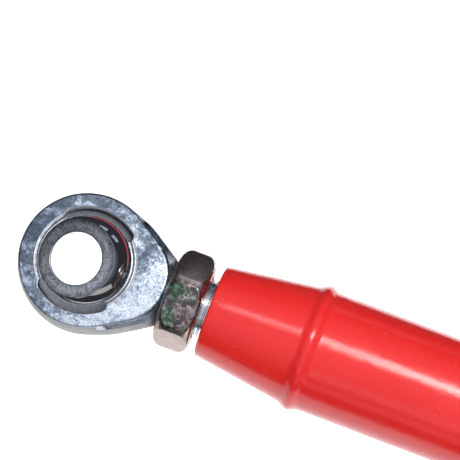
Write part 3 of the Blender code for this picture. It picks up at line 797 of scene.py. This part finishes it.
# ---------------------------------------------------------------- barrel
def end_cap():
    """Conical cap with a rounded nose, a socket for the shank and a spigot inside the tube."""
    slope = (CAP_LARGE - CAP_SMALL) / (CONE_END - CAP_START)
    socket = THREAD_RADIUS + 0.3
    countersink = 1.4
    nose = rounded([(CAP_START + 6.0, socket), (CAP_START + countersink, socket),
                    (CAP_START, socket + countersink), (CAP_START, CAP_SMALL),
                    (CAP_START + NOSE_LENGTH, CAP_SMALL + slope * NOSE_LENGTH)], CAP_EDGE, 6)
    rest = CONE_END - CAP_START - NOSE_LENGTH
    cone = [(CAP_START + NOSE_LENGTH + along, CAP_SMALL + slope * (NOSE_LENGTH + along))
            for along in (rest * step / 8 for step in range(1, 9))]
    spigot = BARREL_BORE - SPIGOT_GAP
    profile = [(CAP_START + SOCKET_DEPTH, 0.0), (CAP_START + SOCKET_DEPTH, socket), *nose, *cone,
               (CAP_SPIGOT, BARREL_BORE), (CAP_SPIGOT, spigot), (CAP_END - 1.5, spigot),
               (CAP_END, spigot - 1.5), (CAP_END, 0.0)]
    stand_for(lathe("conical_cap", profile, RED), "barrel", "red_enamel", "base_end_cap")


def girth_weld():
    """Painted weld bead with a sunk toe on the cap's side and faint ripples round it."""
    middle = (WELD_START + WELD_END) / 2
    half = (WELD_END - WELD_START) / 2
    base = BARREL_RADIUS + 0.05
    crown = []
    for step in range(25):
        across = -1.0 + step / 12
        rise = (WELD_RADIUS - base) * (0.5 + 0.5 * math.cos(across * math.pi)) ** 0.8
        toe = base - 0.45 * max(0.0, -across)
        crown.append((middle + across * half, toe + rise))

    def ripple(along, angle):
        if abs(along - middle) > half * 0.9:
            return 0.0
        return 0.05 * math.sin(angle * 9 + 0.6) + 0.035 * math.sin(angle * 23 + along)

    bead = lathe("weld_bead", [*crown, (middle, BARREL_BORE + 0.6)], RED, segments=180, wobble=ripple)
    stand_for(bead, "barrel", "red_enamel", "base_girth_weld")


def barrel_tube():
    """The barrel's tube, with its wall cut into short lengths."""
    steps = 24
    outer = [(BARREL_START + 2.0 + (BARREL_END - BARREL_START - 3.0) * step / steps, BARREL_RADIUS)
             for step in range(steps + 1)]
    profile = [(BARREL_START, BARREL_BORE), *outer, (BARREL_END, BARREL_RADIUS - 1.0),
               (BARREL_END, BARREL_BORE + 0.8), (BARREL_END - 0.8, BARREL_BORE)]
    stand_for(lathe("red_barrel", profile, RED), "barrel", "red_enamel", "barrel_tube")


# ---------------------------------------------------------------- other turned pieces
CAD_SIDES = 24             # sides that stand for a circle in the CAD's turned pieces
STRAIGHT = 0.02            # sine of a turn that is too small to be a corner
EASED = 0.2                # rounding of the turned pieces' corners, in mm
TURNED = {
    "barrel": ("barrel_gland", "barrel_guide_ring", "barrel_rod_seal", "barrel_wiper"),
    "stage_1": ("stage_1_sleeve", "stage_1_piston", "stage_1_gland", "stage_1_guide_ring",
                "stage_1_rod_seal", "stage_1_wiper"),
    "plunger": ("plunger_tube", "plunger_piston", "plunger_weld")}


def half_section(node):
    """The closed outline, as (x, radius) in mm, that a turned CAD piece was revolved from."""
    bm = bmesh.new()
    bm.from_mesh(node.data)
    bmesh.ops.transform(bm, matrix=node.matrix_world, verts=bm.verts)
    bmesh.ops.remove_doubles(bm, verts=bm.verts, dist=1e-6)
    rim = max(bm.verts, key=lambda vert: vert.co.yz.length).co
    half_side = math.pi / CAD_SIDES
    turn = math.atan2(rim.z, rim.y) + half_side
    outward = Vector((0.0, math.cos(turn), math.sin(turn)))
    cut = bmesh.ops.bisect_plane(bm, geom=[*bm.verts, *bm.edges, *bm.faces], dist=1e-7,
                                 plane_co=(0.0, 0.0, 0.0),
                                 plane_no=Vector((1.0, 0.0, 0.0)).cross(outward))["geom_cut"]
    lines = (item for item in cut if isinstance(item, bmesh.types.BMEdge))
    edges = {line for line in lines if line.verts[0].co.dot(outward) > 0.0}
    vert = min({vert for edge in edges for vert in edge.verts}, key=lambda item: item.co.to_tuple())
    outline = []
    while edges:
        choices = [edge for edge in vert.link_edges if edge in edges]
        ahead = min(choices, key=lambda edge: edge.other_vert(vert).co.to_tuple())
        edges.discard(ahead)
        outline.append(Vector((vert.co.x, vert.co.dot(outward) / math.cos(half_side))) / MM)
        vert = ahead.other_vert(vert)
    bm.free()
    corners = []
    for before, point, after in zip(outline[-1:] + outline, outline, outline[1:] + outline[:1]):
        into, out = (point - before).normalized(), (after - point).normalized()
        if abs(into.x * out.y - into.y * out.x) > STRAIGHT:
            corners.append(tuple(point))
    return corners


def turned_pieces():
    """Fine meshes with eased corners in place of the CAD's turned pieces."""
    slots = {row["node"]: row["material_slot"] for row in frame["record"]["subparts"]}
    for body, nodes in TURNED.items():
        for node in nodes:
            outline = rounded(half_section(frame["nodes"][node]), EASED, 2, closed=True)
            fine = lathe("fine_" + node, outline, SLOT_MATERIALS[slots[node]])
            stand_for(fine, body, slots[node], node)


# ---------------------------------------------------------------- surroundings
FLOOR_LEVEL = -0.30
FLOOR_RADIUS = 0.9
ROOM_RADIUS = 8.0
TABLE_CENTRE = (0.3, -0.56)
SIDE_PANELS = ((86.0, 3.0), (62.0, 5.0))   # bearing and height of two bluish panels, in degrees
PANEL_DISTANCE = 1.2
ROOM_HEIGHT = 9.0


def plain(name, glow):
    """Plain pale stage surface that gives some light of its own."""
    made = Shader(name, Roughness=0.9)
    made.main.inputs["Emission Color"].default_value = (1.0, 1.0, 1.0, 1.0)
    made.main.inputs["Emission Strength"].default_value = glow
    grain = made.noise(3.0, 2.0)
    made.set("Base Color", made.ramp(grain, (0.3, 0.80), (0.7, 0.84)))
    return made.material


def disc(name, inner, outer, level, material):
    """A flat stage ring round the table's centre, in metres."""
    bm = bmesh.new()
    rings = []
    for radius in (inner, outer):
        rings.append([bm.verts.new((radius * math.cos(turn) + TABLE_CENTRE[0],
                                    radius * math.sin(turn) + TABLE_CENTRE[1], level))
                      for turn in (math.tau * step / MEDIUM for step in range(MEDIUM))])
    for step in range(MEDIUM):
        after = (step + 1) % MEDIUM
        bm.faces.new((rings[0][step], rings[0][after], rings[1][after], rings[1][step]))
    obj = finish_mesh(name, bm, material)
    return obj


def room():
    """A glowing table under the cylinder, and a pale floor and wall that only the camera sees."""
    glow = plain("pale_floor", 0.95)
    disc("table", 0.001, FLOOR_RADIUS, FLOOR_LEVEL, glow)
    far = disc("floor", FLOOR_RADIUS, ROOM_RADIUS, FLOOR_LEVEL, glow)
    wall = disc("wall", ROOM_RADIUS, ROOM_RADIUS + 0.01, FLOOR_LEVEL, plain("pale_wall", 0.80))
    for vertex in wall.data.vertices[MEDIUM:]:
        vertex.co.z += ROOM_HEIGHT
    for obj in (far, wall):
        obj.visible_glossy = False
        obj.visible_diffuse = False
        obj.visible_transmission = False
        obj.visible_shadow = False


def light(name, location, target, size, radiance, colour=(1.0, 1.0, 1.0)):
    """Rectangular soft light that the camera doesn't see, with its brightness as radiance."""
    data = bpy.data.lights.new(name, "AREA")
    data.shape = "RECTANGLE"
    data.size, data.size_y = size
    data.energy = radiance * math.pi * size[0] * size[1]
    data.color = colour
    lamp = bpy.data.objects.new(name, data)
    lamp.location = location
    back = (Vector(location) - Vector(target)).normalized()
    up = back.cross(Vector((1.0, 0.0, 0.0))).normalized()
    lamp.rotation_euler = Matrix((up.cross(back), up, back)).transposed().to_euler()
    lamp.visible_camera = False
    bpy.context.scene.collection.objects.link(lamp)


def lighting():
    """A sky that darkens towards the horizon, two high lights, two at the front and two bluish panels."""
    world = bpy.data.worlds.new("studio")
    world.use_nodes = True
    tree = world.node_tree
    where = tree.nodes.new("ShaderNodeTexCoord")
    split = tree.nodes.new("ShaderNodeSeparateXYZ")
    ramp = tree.nodes.new("ShaderNodeValToRGB")
    tree.links.new(where.outputs["Generated"], split.inputs[0])
    tree.links.new(split.outputs["Z"], ramp.inputs["Fac"])
    stops = ramp.color_ramp.elements
    stops[0].position, stops[0].color = 0.25, (0.045, 0.045, 0.055, 1.0)
    stops[1].position, stops[1].color = 0.90, (0.62, 0.68, 0.78, 1.0)
    tree.links.new(ramp.outputs["Color"], tree.nodes["Background"].inputs["Color"])
    bpy.context.scene.world = world
    light("key", (0.42, 0.33, 1.3), (0.15, 0.0, 0.0), (0.66, 0.24), 22.0, (1.0, 0.99, 0.98))
    light("second", (-0.30, 0.36, 1.3), (0.1, 0.0, 0.0), (0.24, 0.20), 7.0)
    light("fill", (0.35, -1.15, 0.95), (0.15, 0.0, 0.0), (0.90, 0.40), 0.5)
    light("low_strip", (0.80, -1.15, 0.33), (0.05, 0.0, 0.0), (2.00, 0.32), 0.62, (1.0, 0.98, 0.93))
    for turn, height in SIDE_PANELS:
        turn, rise = math.radians(turn), math.radians(height)
        towards = Vector((math.cos(turn) * math.cos(rise), math.sin(turn) * math.cos(rise), math.sin(rise)))
        light("side_panel", towards * PANEL_DISTANCE, (0.0, 0.0, 0.015), (0.28, 0.16), 0.7,
              (0.70, 0.82, 1.0))


# ---------------------------------------------------------------- camera
YAW = math.radians(20.94)
ELEVATION = math.radians(80.5)
DISTANCE = 1.495
LENS = 240.0
AIM = Vector((0.0592, 0.0404, 0.0))


def camera():
    data = bpy.data.cameras.new("camera")
    data.lens = LENS
    data.sensor_width = 36.0
    data.clip_start = 0.05
    data.clip_end = 50.0
    obj = bpy.data.objects.new("camera", data)
    towards = Vector((math.cos(ELEVATION) * math.sin(YAW), -math.cos(ELEVATION) * math.cos(YAW),
                      math.sin(ELEVATION)))
    obj.location = AIM + towards * DISTANCE
    obj.rotation_euler = towards.to_track_quat("Z", "Y").to_euler()
    bpy.context.scene.collection.objects.link(obj)
    bpy.context.scene.camera = obj


def main():
    scene = bpy.context.scene
    scene.view_settings.view_transform = "Standard"
    for row in frame["record"]["subparts"]:
        node = frame["nodes"][row["node"]]
        node.data.materials.clear()
        node.data.materials.append(SLOT_MATERIALS[row["material_slot"]])
    lean = Matrix.Rotation(math.radians(BALL_LEAN), 3, Vector((0.36, -0.93, 0.0)))
    eye_assembly("base", 0.0, 1, "barrel", NUT_ROLL, lean, painted_chrome(lean))
    eye_assembly("rod", ROD_EYE, -1, "plunger", 0.0, Matrix.Identity(3), BALL_CHROME)
    end_cap()
    girth_weld()
    barrel_tube()
    turned_pieces()
    room()
    lighting()
    camera()


main()
